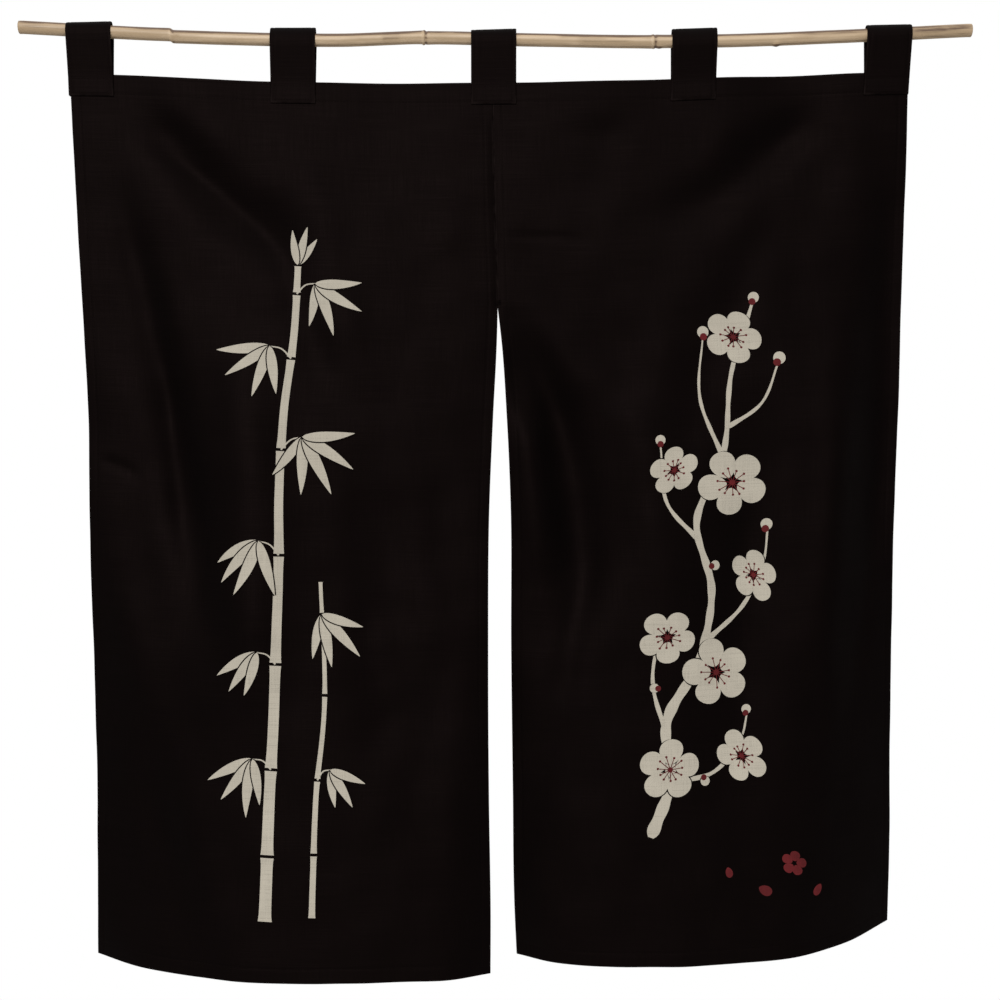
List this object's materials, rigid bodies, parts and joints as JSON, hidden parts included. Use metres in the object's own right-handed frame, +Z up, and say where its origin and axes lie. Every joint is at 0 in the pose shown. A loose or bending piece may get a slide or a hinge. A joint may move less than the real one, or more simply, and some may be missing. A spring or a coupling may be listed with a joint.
{
  "type": "noren curtain with bamboo rod",
  "caption": "Split door curtain of two sewn cotton panels that hang by sewn tabs from a thin bamboo rod, open below the seam as a walk-through slit.",
  "frame": {"origin": "on the bamboo rod's axis at the curtain's mid width, where the rod carries the cloth", "axes": "+Z up, +X to the right along the rod, and the curtain's front faces -Y"},
  "size_m": [0.9644, 0.1356, 0.9664],
  "materials": {
    "cloth": "matt",
    "bamboo": "satin"
  },
  "bodies": {
    "root": {"panel_left": "cloth", "panel_right": "cloth", "tab_1": "cloth", "tab_2": "cloth", "tab_3": "cloth", "tab_4": "cloth", "tab_5": "cloth", "rod": "bamboo"}
  },
  "joints": []
}
